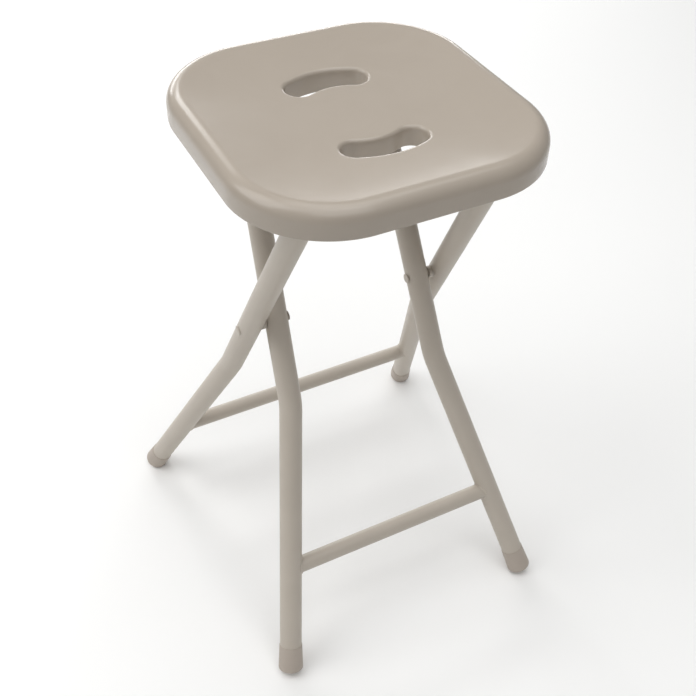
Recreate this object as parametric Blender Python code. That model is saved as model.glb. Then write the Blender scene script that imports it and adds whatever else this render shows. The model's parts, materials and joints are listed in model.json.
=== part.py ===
"""Folding shower stool: a moulded seat with two hand slots on two crossed, welded tube frames.

Units are metres and +Z is up. X runs along the crossbars and the fold axis, -Y is the front, and the
origin is on the floor under the middle of the stool. The outer frame stands on the back feet and
carries the seat's hinge at the front. The inner frame stands on the front feet, and its top bar lies
in two open catches at the back of the seat.
"""

import math
from typing import NamedTuple

import bpy
import numpy as np
from mathutils import Matrix, Vector

# ---- driving dimensions ----
GAP = 0.0003                # clearance between pieces that touch
SEAT_HEIGHT = 0.4577        # floor to the crest of the seat
SEAT_WIDTH = 0.237          # along X
SEAT_DEPTH = 0.241          # along Y
SEAT_CORNER_R = 0.073
SEAT_RIM = 0.0215           # crest to the bottom of the skirt
SEAT_EDGE_R = 0.0105        # round on the outer top edge
SEAT_SKIN = 0.003
SEAT_DISH = 0.008           # fall from the crest to the middle
DISH_POWER = 2.6            # how late the dish starts to rise
SLOT_MIDDLE_Y = 0.050       # middle of the seat to the middle of a slot
SLOT_BEND_R = 0.054         # radius of a slot's centreline
SLOT_HALF_ANGLE = math.radians(24.0)
SLOT_HALF_WIDTH = 0.0108
SLOT_EDGE_R = 0.003
SLOT_WALL = 0.0024
COLLAR_DROP = 0.0017        # the slots' collars reach this far below the skirt
RIB_WALL = 0.002
INNER_RIB_X = 0.0505
OUTER_RIB_X = 0.092
BOSS_R = 0.0045

TUBE_R = 0.0095
TUBE_WALL = 0.0012
CROSSBAR_R = 0.0071
CROSSBAR_WALL = 0.0012
PIVOT_DROP = 0.1575         # top bars to the pivots
LEAN = math.radians(27.0)   # each frame's lean from upright
BAR_DROP = 0.0207           # crest to the middle of both top bars
BEND_DROP = 0.0655          # pivots to where the legs start to spread
OUTER_SPREAD = math.radians(12.83)
INNER_SPREAD = math.radians(12.54)
OUTER_TOP_X = 0.0755        # seat's middle to the leg axis, at the top bar
OUTER_BEND_X = 0.0934
TOP_SPACE = -0.0001         # between the two frames' legs, at the top bars
BEND_SPACE = 0.0060         # and where they start to spread
TOP_CORNER_R = 0.026
LEG_BEND_R = 0.080
FRONT_BAR_HEIGHT = 0.0866   # floor to the middle of the inner frame's crossbar
BACK_BAR_HEIGHT = 0.0876    # and of the outer frame's

RIVET_R = 0.003
RIVET_HEAD_R = 0.004
RIVET_HEAD = 0.0012         # rise of the outer head's crown over the tube
RIVET_TAIL = 0.0008         # thickness of the formed head inside
RIVET_EDGE = 0.0003         # height of a head's straight edge
BUSH_R = 0.005

CAP_WALL = 0.0009
CAP_LENGTH = 0.0205         # how far a cap reaches up the tube
CAP_FLOOR = 0.003
CAP_EDGE_R = 0.003
CAP_FLAT = 0.0007           # depth of the floor flat in a cap's edge

STRAP_X = 0.036
STRAP_WIDTH = 0.014
STRAP_WALL = 0.0026
CATCH_X = 0.020
CATCH_WIDTH = 0.015
CATCH_BACK = math.radians(-25.0)    # ends of the catch's hold, about the bar, from straight back
CATCH_FRONT = math.radians(140.0)
SCREW_REACH = 0.0172        # bar axis to screw axis
SCREW_R = 0.0015
SCREW_LENGTH = 0.0085
SCREW_HEAD_R = 0.003
SCREW_HEAD = 0.0016

# ---- derived places ----
TOP_BAR_HEIGHT = SEAT_HEIGHT - BAR_DROP
PIVOT_HEIGHT = TOP_BAR_HEIGHT - PIVOT_DROP
INNER_TOP_X = OUTER_TOP_X - 2 * TUBE_R - TOP_SPACE
INNER_BEND_X = OUTER_BEND_X - 2 * TUBE_R - BEND_SPACE
TOP_BAR_REACH = PIVOT_DROP / math.cos(LEAN)     # pivot to top bar along a frame
BEND_REACH = -BEND_DROP / math.cos(LEAN)
TOP_BAR_Y = TOP_BAR_REACH * math.sin(LEAN)
TUBE_ROOM = TUBE_R + GAP
CAP_R = TUBE_ROOM + CAP_WALL
CREST_SIZE = (SEAT_WIDTH / 2 - SEAT_EDGE_R, SEAT_DEPTH / 2 - SEAT_EDGE_R)
CREST_CORNER_R = SEAT_CORNER_R - SEAT_EDGE_R
RIM_BOTTOM = SEAT_HEIGHT - SEAT_RIM
COLLAR_BOTTOM = RIM_BOTTOM - COLLAR_DROP
BOSS_BOTTOM = TOP_BAR_HEIGHT + GAP
RIB_BOTTOM = BOSS_BOTTOM + 0.0012
FLANGE_REACH = SCREW_REACH + BOSS_R
STRAP_R = TUBE_ROOM + STRAP_WALL
HANDS = {"left": -1, "right": 1}
FRONT, BACK = -1, 1         # the side on which a frame's top bar lies


class FrameSize(NamedTuple):
    """One U frame: its name, its side and the distances that set it apart from the other."""
    word: str
    side: int
    top_x: float
    bend_x: float
    spread: float
    bar_height: float


OUTER = FrameSize("outer", FRONT, OUTER_TOP_X, OUTER_BEND_X, OUTER_SPREAD, BACK_BAR_HEIGHT)
INNER = FrameSize("inner", BACK, INNER_TOP_X, INNER_BEND_X, INNER_SPREAD, FRONT_BAR_HEIGHT)

TUBE_SIDES = 20
SEAT_SIDES = 72
DISH_SHARES = (1.0, 0.93, 0.84, 0.72, 0.56, 0.38, 0.18)


def make_material(name, rgb, roughness, metallic=0.0):
    material = bpy.data.materials.new(name)
    material.use_nodes = True
    shader = material.node_tree.nodes["Principled BSDF"]
    shader.inputs["Base Color"].default_value = (*rgb, 1.0)
    shader.inputs["Roughness"].default_value = roughness
    shader.inputs["Metallic"].default_value = metallic
    return material


def add_mesh(name, vertices, faces, material=None):
    mesh = bpy.data.meshes.new(name)
    mesh.from_pydata([tuple(map(float, vertex)) for vertex in vertices], [], faces)
    if material:
        mesh.materials.append(material)
    mesh.shade_smooth()
    mesh.set_sharp_from_angle(angle=math.radians(40))
    obj = bpy.data.objects.new(name, mesh)
    bpy.context.scene.collection.objects.link(obj)
    return obj


def lofted(name, rings, material=None, loop=False):
    """A skin over rings of equal length. Each runs counter-clockwise about the way they advance."""
    count = len(rings[0])
    faces = []
    for i in range(len(rings) if loop else len(rings) - 1):
        a, b = i * count, (i + 1) % len(rings) * count
        for k in range(count):
            n = (k + 1) % count
            faces.append((a + k, a + n, b + n, b + k))
    if not loop:
        faces.append(tuple(range(count - 1, -1, -1)))
        faces.append(tuple(range((len(rings) - 1) * count, len(rings) * count)))
    return add_mesh(name, np.concatenate(rings), faces, material)


def turned(name, profile, place, material=None, loop=False, sides=TUBE_SIDES):
    """Turns (radius, height) points about place's local Z: bottom to top, or as a loop up the outside
    and down the bore."""
    angles = np.arange(sides) * 2 * math.pi / sides
    rings = []
    for radius, height in profile:
        flat = [Vector((radius * math.cos(a), radius * math.sin(a), height)) for a in angles]
        rings.append([place @ point for point in flat])
    return lofted(name, rings, material, loop)


def prism(name, outline, low, high, axis, material=None):
    """Extrudes an outline, counter-clockwise about the axis, from low to high along X or Z."""
    outline = np.asarray(outline, float)
    rings = []
    for level in (low, high):
        column = np.full((len(outline), 1), level)
        rings.append(np.concatenate([column, outline] if axis == "X" else [outline, column], 1))
    return lofted(name, rings, material)


def box(name, low, high):
    outline = [(low[0], low[1]), (high[0], low[1]), (high[0], high[1]), (low[0], high[1])]
    return prism(name, outline, low[2], high[2], "Z")


def along(origin, direction):
    """A placement whose local Z runs along a direction."""
    turn = Vector((0, 0, 1)).rotation_difference(Vector(direction))
    return Matrix.Translation(origin) @ turn.to_matrix().to_4x4()


def combine(obj, tool, operation):
    """Adds an exact Boolean and marks the other shape as a helper, which isn't a piece."""
    tool.hide_render = True
    tool.display_type = "WIRE"
    modifier = obj.modifiers.new(tool.name, "BOOLEAN")
    modifier.operation = operation
    modifier.solver = "EXACT"
    modifier.object = tool
    return obj


def arc_points(radius, start, end, count):
    """Points on an arc about the origin, from one angle to another."""
    angles = np.linspace(start, end, count)
    return np.stack([radius * np.cos(angles), radius * np.sin(angles)], 1)


# ---- frames ----
def filleted(corners, radii, steps):
    """A flat polyline whose inner corners are arcs, each with its own radius."""
    corners = [np.array(corner, float) for corner in corners]
    points = [corners[0]]
    for i, (radius, count) in enumerate(zip(radii, steps), start=1):
        here = corners[i]
        to_before = (corners[i - 1] - here) / np.linalg.norm(corners[i - 1] - here)
        to_after = (corners[i + 1] - here) / np.linalg.norm(corners[i + 1] - here)
        half = math.acos(to_before @ to_after) / 2
        bisector = (to_before + to_after) / np.linalg.norm(to_before + to_after)
        middle = here + bisector * radius / math.sin(half)
        start = here + to_before * radius / math.tan(half) - middle
        end = here + to_after * radius / math.tan(half) - middle
        sweep = math.pi - 2 * half
        for t in np.linspace(0, 1, count + 1):
            turn = math.sin((1 - t) * sweep) * start + math.sin(t * sweep) * end
            points.append(middle + turn / math.sin(sweep))
    points.append(corners[-1])
    return points


def leg_slope(frame):
    """How fast a leg nears the middle plane on its way up to the top bar."""
    return (frame.bend_x - frame.top_x) / (TOP_BAR_REACH - BEND_REACH)


def leg_x(frame, reach):
    """A leg axis's distance from the middle plane at a reach above or below the pivot."""
    if reach > BEND_REACH:
        return frame.bend_x - leg_slope(frame) * (reach - BEND_REACH)
    return frame.bend_x + math.tan(frame.spread) * (BEND_REACH - reach)


def foot_reach(frame):
    """The reach of the tube's end, so that the cap over it meets the floor with its flat."""
    upright = math.cos(LEAN) * math.cos(frame.spread)
    tilted = math.sqrt(1 - upright**2)
    under_side = (CAP_R - CAP_EDGE_R) * tilted + CAP_EDGE_R * (1 - upright) - CAP_FLAT
    tube_end = under_side + (CAP_FLOOR + GAP) * upright
    return (tube_end - PIVOT_HEIGHT) / math.cos(LEAN)


def frame_outline(frame):
    """A U frame's axis in its own plane, as (x, reach), from foot to foot."""
    reaches = (foot_reach(frame), BEND_REACH, TOP_BAR_REACH)
    half = [(leg_x(frame, reach), reach) for reach in reaches]
    corners = [(-x, reach) for x, reach in half] + list(reversed(half))
    radii = (LEG_BEND_R, TOP_CORNER_R, TOP_CORNER_R, LEG_BEND_R)
    return filleted(corners, radii, (4, 7, 7, 4))


def frame_point(x, reach, side):
    """A point of the plane of the frame whose top bar lies on this side."""
    return Vector((x, side * reach * math.sin(LEAN), PIVOT_HEIGHT + reach * math.cos(LEAN)))


def swept(name, outline, side, radius, wall=0.0, material=None):
    """A tube, or a rod where there is no wall, along a flat outline in a frame's plane."""
    normal = np.array([0.0, math.cos(LEAN), -side * math.sin(LEAN)])
    path = np.array([frame_point(x, reach, side) for x, reach in outline])
    steps = np.diff(path, axis=0)
    steps /= np.linalg.norm(steps, axis=1)[:, None]
    tangents = np.concatenate([steps[:1], steps[:-1] + steps[1:], steps[-1:]])
    tangents /= np.linalg.norm(tangents, axis=1)[:, None]
    across = np.cross(normal, tangents)
    flat = arc_points(1.0, 0, 2 * math.pi, TUBE_SIDES + 1)[:-1]

    def ring(i, r):
        return path[i] + r * (flat[:, :1] * across[i] + flat[:, 1:] * normal)

    rings = [ring(i, radius) for i in range(len(path))]
    if wall:
        rings += [ring(i, radius - wall) for i in reversed(range(len(path)))]
    return lofted(name, rings, material, loop=bool(wall))


def foot_cap(name, foot, up, material):
    """A cup over the tube's end, round at its bottom edge, with a flat where it meets the floor."""
    bottom = -(CAP_FLOOR + GAP)
    bore = CAP_R - CAP_WALL
    lip = CAP_WALL / 3
    edge = arc_points(CAP_EDGE_R, -math.pi / 2, 0, 5) + (CAP_R - CAP_EDGE_R, bottom + CAP_EDGE_R)
    profile = [tuple(point) for point in edge]
    profile += [(CAP_R, CAP_LENGTH - lip), (CAP_R - lip, CAP_LENGTH), (bore, CAP_LENGTH), (bore, -GAP)]
    cap = turned(name, profile, along(foot, up), material)
    reach = 3 * CAP_R
    low = (foot.x - reach, foot.y - reach, -reach)
    floor = box(name + "_floor", low, (foot.x + reach, foot.y + reach, 0.0))
    return combine(cap, floor, "DIFFERENCE")


def build_frame(frame, paint, rubber):
    """One frame's tube, crossbar and foot caps. Returns a solid copy of the tube for its neighbours."""
    outline = frame_outline(frame)
    room = swept(frame.word + "_tube_room", outline, frame.side, TUBE_ROOM)
    tube = swept(frame.word + "_frame_tube", outline, frame.side, TUBE_R, TUBE_WALL, paint)
    span = frame.bend_x + OUTER_BEND_X
    hole = [(RIVET_R + GAP, -span), (RIVET_R + GAP, span)]
    pivot = (0, 0, PIVOT_HEIGHT)
    combine(tube, turned(frame.word + "_rivet_hole", hole, along(pivot, (1, 0, 0))), "DIFFERENCE")

    bar_reach = (frame.bar_height - PIVOT_HEIGHT) / math.cos(LEAN)
    half = leg_x(frame, bar_reach)
    bore = CROSSBAR_R - CROSSBAR_WALL
    profile = [(CROSSBAR_R, -half), (CROSSBAR_R, half), (bore, half), (bore, -half)]
    place = along(frame_point(0, bar_reach, frame.side), (1, 0, 0))
    bar = turned(frame.word + "_crossbar", profile, place, paint, loop=True)
    combine(bar, room, "DIFFERENCE")

    end = "back" if frame.side == FRONT else "front"
    reach = foot_reach(frame)
    for hand_word, hand in HANDS.items():
        foot = frame_point(hand * leg_x(frame, reach), reach, frame.side)
        bend = frame_point(hand * frame.bend_x, BEND_REACH, frame.side)
        foot_cap(f"foot_cap_{end}_{hand_word}", foot, bend - foot, rubber)
    return room


def build_pivots(outer_room, paint, nylon):
    """Rivets through both frames, with a bush in between.

    The rivets stay with the outer frame, so the head is saddled on the outer tube. The formed head
    inside is flat, because the inner tube turns under it.
    """
    outer_x, inner_x = leg_x(OUTER, 0.0), leg_x(INNER, 0.0)
    dome = arc_points(1.0, 0, math.pi / 2 * 0.9, 5)
    crown = dome * (RIVET_HEAD_R, RIVET_HEAD - RIVET_EDGE) + (0, outer_x + TUBE_R + RIVET_EDGE)
    head = [(RIVET_HEAD_R, outer_x)] + crown.tolist()
    tail_face = inner_x - TUBE_R - leg_slope(INNER) * RIVET_HEAD_R - GAP
    crown = dome * (RIVET_HEAD_R, RIVET_EDGE - RIVET_TAIL) + (0, tail_face - RIVET_EDGE)
    rod = crown.tolist()[::-1] + [(RIVET_HEAD_R, tail_face), (RIVET_R, tail_face)]
    rod += [(RIVET_R, outer_x + TUBE_R)]
    bush_low = inner_x + TUBE_R + leg_slope(INNER) * BUSH_R + GAP
    bore = RIVET_R + GAP
    for word, hand in HANDS.items():
        place = along((0, 0, PIVOT_HEIGHT), (hand, 0, 0))
        rivet = turned("pivot_rivet_" + word, rod, place, paint)
        cap = combine(turned("rivet_head_" + word, head, place), outer_room, "DIFFERENCE")
        combine(rivet, cap, "UNION")
        ring = [(BUSH_R, bush_low), (BUSH_R, outer_x), (bore, outer_x), (bore, bush_low)]
        bush = turned("pivot_bush_" + word, ring, place, nylon, loop=True)
        combine(bush, outer_room, "DIFFERENCE")


# ---- seat ----
def seat_ring(inset, z):
    """The seat's outline, a rectangle with round corners, drawn in by inset, at height z."""
    radius = SEAT_CORNER_R - inset
    room = (SEAT_WIDTH / 2 - SEAT_CORNER_R, SEAT_DEPTH / 2 - SEAT_CORNER_R)
    angles = (np.arange(SEAT_SIDES) + 0.5) * 2 * math.pi / SEAT_SIDES
    x = radius * np.cos(angles) + np.sign(np.cos(angles)) * room[0]
    y = radius * np.sin(angles) + np.sign(np.sin(angles)) * room[1]
    return np.stack([x, y, np.full_like(x, z)], 1)


def crest_share(x, y):
    """Where a point lies between the seat's middle, 0, and its crest, 1, along its own ray."""
    distance = np.hypot(x, y)
    ray_x, ray_y = np.abs(x) / distance, np.abs(y) / distance
    room_x, room_y = CREST_SIZE[0] - CREST_CORNER_R, CREST_SIZE[1] - CREST_CORNER_R
    middle = ray_x * room_x + ray_y * room_y
    corner = middle + np.sqrt(middle**2 - room_x**2 - room_y**2 + CREST_CORNER_R**2)
    to_side = CREST_SIZE[0] / ray_x
    to_end = CREST_SIZE[1] / ray_y
    edge = np.where(to_side * ray_y < room_y, to_side, np.where(to_end * ray_x < room_x, to_end, corner))
    return distance / edge


def dish_fall(x, y):
    """How far the seat's top lies under its crest, inside the crest."""
    return SEAT_DISH * (1 - np.minimum(crest_share(x, y), 1) ** DISH_POWER)


def shell_rings(inset, low):
    """A skin at a depth inside the seat's outer surface, from its edge at height low to its middle."""
    radius = SEAT_EDGE_R - inset
    rings = [seat_ring(inset, low)]
    for a in np.linspace(0, math.pi / 2, 5)[:-1]:
        fall = inset + radius * (1 - math.sin(a))
        rings.append(seat_ring(inset + radius * (1 - math.cos(a)), SEAT_HEIGHT - fall))
    for share in DISH_SHARES:
        ring = seat_ring(SEAT_EDGE_R, 0.0) * share
        ring[:, 2] = SEAT_HEIGHT - inset - SEAT_DISH * (1 - share**DISH_POWER)
        rings.append(ring)
    return rings


def kidney(half_width, side):
    """A slot's outline: a band round a centreline that bows away from the seat's middle."""
    centre = np.array([0.0, SLOT_MIDDLE_Y - SLOT_BEND_R])
    right, left = math.pi / 2 - SLOT_HALF_ANGLE, math.pi / 2 + SLOT_HALF_ANGLE
    far = arc_points(SLOT_BEND_R + half_width, right, left, 13)
    near = arc_points(SLOT_BEND_R - half_width, left, right, 13)
    left_end = arc_points(SLOT_BEND_R, left, left, 1) + arc_points(half_width, left, left + math.pi, 9)[1:-1]
    right_end = arc_points(SLOT_BEND_R, right, right, 1)
    right_end = right_end + arc_points(half_width, right - math.pi, right, 9)[1:-1]
    outline = np.concatenate([far, left_end, near, right_end]) + centre
    return outline if side == BACK else -outline


def slot_cutter(name, side):
    """A slot's prism, whose top flares along the dished surface and so rounds the slot's edge."""
    outline = kidney(SLOT_HALF_WIDTH, side)
    rings = [np.concatenate([outline, np.full((len(outline), 1), RIM_BOTTOM - SEAT_RIM)], 1)]
    for a in np.linspace(0, math.pi / 2, 5):
        outline = kidney(SLOT_HALF_WIDTH + SLOT_EDGE_R * (1 - math.cos(a)), side)
        fall = dish_fall(outline[:, 0], outline[:, 1]) + SLOT_EDGE_R * (1 - math.sin(a))
        rings.append(np.concatenate([outline, SEAT_HEIGHT - fall[:, None]], 1))
    outline = kidney(SLOT_HALF_WIDTH + SLOT_EDGE_R * 1.1, side)
    rings.append(np.concatenate([outline, np.full((len(outline), 1), SEAT_HEIGHT + SEAT_RIM)], 1))
    return lofted(name, rings)


def strap_screws():
    """The hinge screws' names and places."""
    places = {}
    for word, hand in HANDS.items():
        places["hinge_screw_front_" + word] = (hand * STRAP_X, -TOP_BAR_Y - SCREW_REACH)
        places["hinge_screw_back_" + word] = (hand * STRAP_X, -TOP_BAR_Y + SCREW_REACH)
    return places


def catch_screws():
    return {"catch_screw_" + word: (hand * CATCH_X, TOP_BAR_Y + SCREW_REACH) for word, hand in HANDS.items()}


def stiffening():
    """Ribs, slot collars and screw bosses, trimmed to reach halfway into the skin and the skirt."""
    above = SEAT_HEIGHT + SEAT_RIM
    half_x, half_y, half_rib = SEAT_WIDTH / 2, SEAT_DEPTH / 2, RIB_WALL / 2
    ribs = box("rib_across", (-half_x, -half_rib, RIB_BOTTOM), (half_x, half_rib, above))
    for word, hand in HANDS.items():
        x = hand * INNER_RIB_X
        low, high = (x - half_rib, -half_y, RIB_BOTTOM), (x + half_rib, SLOT_MIDDLE_Y, above)
        combine(ribs, box("inner_rib_" + word, low, high), "UNION")
        x = hand * OUTER_RIB_X
        low, high = (x - half_rib, -half_y, RIB_BOTTOM), (x + half_rib, half_y, above)
        combine(ribs, box("outer_rib_" + word, low, high), "UNION")
    for word, side in (("front", FRONT), ("back", BACK)):
        outline = kidney(SLOT_HALF_WIDTH + SLOT_WALL, side)
        combine(ribs, prism("collar_" + word, outline, COLLAR_BOTTOM, above, "Z"), "UNION")
    for name, place in {**strap_screws(), **catch_screws()}.items():
        profile = [(BOSS_R, BOSS_BOTTOM), (BOSS_R, above)]
        boss = turned(name + "_boss", profile, Matrix.Translation((*place, 0)), sides=16)
        combine(ribs, boss, "UNION")
    core = lofted("seat_core", shell_rings(SEAT_SKIN / 2, COLLAR_BOTTOM))
    return combine(ribs, core, "INTERSECT")


def build_seat(material):
    """The moulded seat: dished skin, rolled edge and skirt, slots with collars, ribs and bosses."""
    rings = list(reversed(shell_rings(SEAT_SKIN, RIM_BOTTOM))) + shell_rings(0.0, RIM_BOTTOM)
    seat = lofted("seat_shell", rings, material)
    combine(seat, stiffening(), "UNION")
    for word, side in (("front", FRONT), ("back", BACK)):
        combine(seat, slot_cutter("slot_" + word, side), "DIFFERENCE")
    for word, bar_y, half in (("hinge", -TOP_BAR_Y, OUTER_TOP_X), ("rest", TOP_BAR_Y, INNER_TOP_X)):
        bar = along((0, bar_y, TOP_BAR_HEIGHT), (1, 0, 0))
        room = [(TUBE_ROOM, -half), (TUBE_ROOM, half)]
        combine(seat, turned(word + "_room", room, bar), "DIFFERENCE")
    for word, hand in HANDS.items():
        fixings = (("strap", -TOP_BAR_Y, STRAP_X, STRAP_WIDTH), ("catch", TOP_BAR_Y, CATCH_X, CATCH_WIDTH))
        for kind, bar_y, x, width in fixings:
            middle = along((hand * x, bar_y, TOP_BAR_HEIGHT), (1, 0, 0))
            room = [(STRAP_R + GAP, -width / 2 - GAP), (STRAP_R + GAP, width / 2 + GAP)]
            combine(seat, turned(f"{kind}_room_{word}", room, middle), "DIFFERENCE")
    bore = [(SCREW_R + GAP, -GAP - BOSS_R), (SCREW_R + GAP, SCREW_LENGTH + SCREW_R)]
    for name, place in {**strap_screws(), **catch_screws()}.items():
        hole = turned(name + "_bore", bore, Matrix.Translation((*place, BOSS_BOTTOM)), sides=12)
        combine(seat, hole, "DIFFERENCE")
    return seat


def strap_outline():
    """A hinge strap's section, as (y, z) from the bar's axis: a half ring with two flat flanges."""
    start = math.asin(STRAP_WALL / STRAP_R)
    inside = arc_points(TUBE_ROOM, 0, -math.pi, 11)
    outside = arc_points(STRAP_R, math.pi + start, 2 * math.pi - start, 9)
    left = [(-FLANGE_REACH, 0), (-FLANGE_REACH, -STRAP_WALL)]
    right = [(FLANGE_REACH, -STRAP_WALL), (FLANGE_REACH, 0)]
    return np.concatenate([inside, left, outside, right])


def catch_outline():
    """A catch's section, as (y, z) from the bar's axis: a hook over the bar and one flange behind."""
    start = math.asin(STRAP_WALL / STRAP_R)
    inside = arc_points(TUBE_ROOM, CATCH_FRONT, CATCH_BACK, 13)
    under = arc_points(STRAP_R, CATCH_BACK, -start, 3)
    flange = [(FLANGE_REACH, -STRAP_WALL), (FLANGE_REACH, 0)]
    outside = arc_points(STRAP_R, 0, CATCH_FRONT, 10)
    return np.concatenate([inside, under, flange, outside])


def build_fixings(plastic, steel):
    """Hinge straps, catches and the screws that hold them."""
    kinds = (
        ("hinge_strap_", strap_outline(), -TOP_BAR_Y, STRAP_X, STRAP_WIDTH, strap_screws()),
        ("catch_", catch_outline(), TOP_BAR_Y, CATCH_X, CATCH_WIDTH, catch_screws()),
    )
    head_top = TOP_BAR_HEIGHT - STRAP_WALL - GAP
    shank = head_top + SCREW_LENGTH + STRAP_WALL
    dome = arc_points(1.0, -math.pi / 2 * 0.9, 0, 5) * (SCREW_HEAD_R, SCREW_HEAD) + (0, head_top)
    profile = [tuple(point) for point in dome] + [(SCREW_R, head_top), (SCREW_R, shank)]
    hole = [(SCREW_R + GAP, TOP_BAR_HEIGHT - STRAP_R), (SCREW_R + GAP, TOP_BAR_HEIGHT + STRAP_R)]
    for start, section, bar_y, x, width, screws in kinds:
        outline = section + (bar_y, TOP_BAR_HEIGHT)
        for word, hand in HANDS.items():
            low, high = hand * x - width / 2, hand * x + width / 2
            fixing = prism(start + word, outline, low, high, "X", plastic)
            for name, place in screws.items():
                if name.endswith(word):
                    cutter = turned(name + "_hole", hole, Matrix.Translation((*place, 0)), sides=12)
                    combine(fixing, cutter, "DIFFERENCE")
        for name, place in screws.items():
            turned(name, profile, Matrix.Translation((*place, 0)), steel, sides=12)


def hang(name, location, prefixes):
    """Parents the pieces that turn together to an empty on their joint's axis."""
    axis = bpy.data.objects.new(name, None)
    axis.location = location
    bpy.context.scene.collection.objects.link(axis)
    for obj in list(bpy.data.objects):
        if obj.type == "MESH" and not obj.hide_render and obj.name.startswith(prefixes):
            obj.parent = axis
            obj.matrix_parent_inverse = Matrix.Translation(location).inverted()


def main():
    for old in list(bpy.data.objects):
        bpy.data.objects.remove(old, do_unlink=True)
    seat_plastic = make_material("taupe_plastic", (0.46, 0.40, 0.35), 0.25)
    paint = make_material("taupe_enamel", (0.47, 0.43, 0.36), 0.35)
    rubber = make_material("taupe_vinyl", (0.42, 0.37, 0.33), 0.5)
    nylon = make_material("taupe_nylon", (0.45, 0.41, 0.36), 0.45)
    steel = make_material("plated_steel", (0.62, 0.60, 0.57), 0.35, 1.0)
    outer_room = build_frame(OUTER, paint, rubber)
    build_frame(INNER, paint, rubber)
    build_pivots(outer_room, paint, nylon)
    build_seat(seat_plastic)
    build_fixings(seat_plastic, steel)
    hang("fold_axis", (0, 0, PIVOT_HEIGHT), ("inner_", "foot_cap_front"))
    hang("seat_axis", (0, -TOP_BAR_Y, TOP_BAR_HEIGHT), ("seat_", "hinge_", "catch_"))


main()
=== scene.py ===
"""Finished looks for a folding shower stool: a moulded seat on two crossed tube frames.

Metres, +Z up. X runs along the crossbars, -Y is the front, and the origin is on the floor under the
stool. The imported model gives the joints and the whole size. Each class below holds the sizes of one
sub-assembly, works its surfaces out with numpy and dresses them.
"""

import json
import logging
import math
from dataclasses import dataclass, field
from enum import Enum
from functools import cached_property

import bmesh
import bpy
import numpy as np
from mathutils import Matrix, Vector


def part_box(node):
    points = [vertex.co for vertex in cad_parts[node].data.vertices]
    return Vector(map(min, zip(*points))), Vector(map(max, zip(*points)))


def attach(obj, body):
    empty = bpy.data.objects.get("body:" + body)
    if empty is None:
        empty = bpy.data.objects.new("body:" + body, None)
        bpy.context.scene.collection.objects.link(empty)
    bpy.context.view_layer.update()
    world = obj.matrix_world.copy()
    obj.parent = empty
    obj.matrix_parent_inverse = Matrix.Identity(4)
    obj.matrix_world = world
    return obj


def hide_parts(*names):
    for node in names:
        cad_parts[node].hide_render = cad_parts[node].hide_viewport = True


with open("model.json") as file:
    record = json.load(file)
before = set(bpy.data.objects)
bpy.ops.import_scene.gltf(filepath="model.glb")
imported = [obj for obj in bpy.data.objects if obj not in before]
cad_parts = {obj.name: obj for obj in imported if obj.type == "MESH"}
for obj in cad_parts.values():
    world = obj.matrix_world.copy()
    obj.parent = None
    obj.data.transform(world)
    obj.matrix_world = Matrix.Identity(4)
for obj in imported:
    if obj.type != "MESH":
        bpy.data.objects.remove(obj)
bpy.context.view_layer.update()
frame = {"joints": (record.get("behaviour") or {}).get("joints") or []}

MM = 0.001
TAU = 2 * math.pi
ACROSS = np.array([1.0, 0.0, 0.0])
UP = np.array([0.0, 0.0, 1.0])
SHARP = 35.0        # degrees; edges that bend by more than this stay sharp
WAVE_TURN = 20.0    # radians that a wave texture turns through in one unit, at scale one
log = logging.getLogger("stool")


class Side(Enum):
    """A pair of opposite sides, by the sign of a coordinate."""

    @property
    def word(self) -> str:
        """The side's name, as piece names have it."""
        return self.name.lower()


class Hand(Side):
    """The two sides of the stool, by the sign of X."""

    LEFT = -1
    RIGHT = 1


class End(Side):
    """The two ends of the seat, by the sign of Y."""

    FRONT = -1
    BACK = 1


class Slot(Enum):
    """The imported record's material slots."""

    SEAT = "seat_plastic"
    ENAMEL = "enamel"
    FOOT = "foot_vinyl"
    NYLON = "nylon"
    PLATE = "plated_steel"


# ---------------------------------------------------------------- shared tools
def linear(colour: str) -> tuple[float, float, float, float]:
    """Turns an sRGB hex colour into linear red, green, blue and alpha.

    Args:
        colour: Six hex digits after a hash.

    Returns:
        Linear values, with an alpha of one.
    """
    parts = [int(colour[i : i + 2], 16) / 255 for i in (1, 3, 5)]
    r, g, b = (c / 12.92 if c <= 0.04045 else ((c + 0.055) / 1.055) ** 2.4 for c in parts)
    return r, g, b, 1.0


def unit(vectors: np.ndarray) -> np.ndarray:
    """Scales vectors, along the last axis, to length one."""
    return vectors / np.linalg.norm(vectors, axis=-1, keepdims=True)


def around(count: int) -> np.ndarray:
    """Angles at even steps once round a circle."""
    return np.arange(count) * TAU / count


def rays(angles: np.ndarray) -> np.ndarray:
    """Unit vectors (cosine, sine) at these angles, along a new last axis."""
    return np.stack([np.cos(angles), np.sin(angles)], -1)


def arc(radius: float, start: float, end: float, count: int) -> np.ndarray:
    """Points on a circle about the origin, from one angle to another.

    Args:
        radius: The circle's radius.
        start: First angle, in radians.
        end: Last angle, in radians.
        count: Number of points.

    Returns:
        An array of count by 2.
    """
    return radius * rays(np.linspace(start, end, count))


def onto_tube(
    points: np.ndarray, centre: np.ndarray, axis: np.ndarray, radius: float, hand: Hand
) -> np.ndarray:
    """Slides points along X until they lie on a tube, on its side nearer the middle plane.

    The places where a line along X is the tube's radius away from its axis are the roots of a quadratic.

    Args:
        points: Points, ... by 3, whose Y and Z are kept.
        centre: A point on the tube's axis.
        axis: Unit vector along it.
        radius: The tube's radius.
        hand: The side of the stool that the tube is on.

    Returns:
        The points, slid.
    """
    line_flat = ACROSS - (ACROSS @ axis) * axis
    base = points * (0, 1, 1) - centre
    base_flat = base - (base @ axis)[..., None] * axis
    a, b = line_flat @ line_flat, base_flat @ line_flat
    c = np.sum(base_flat**2, -1) - radius**2
    x = (-b - hand.value * np.sqrt(b**2 - a * c)) / a
    return np.concatenate([x[..., None], points[..., 1:]], -1)


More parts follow.
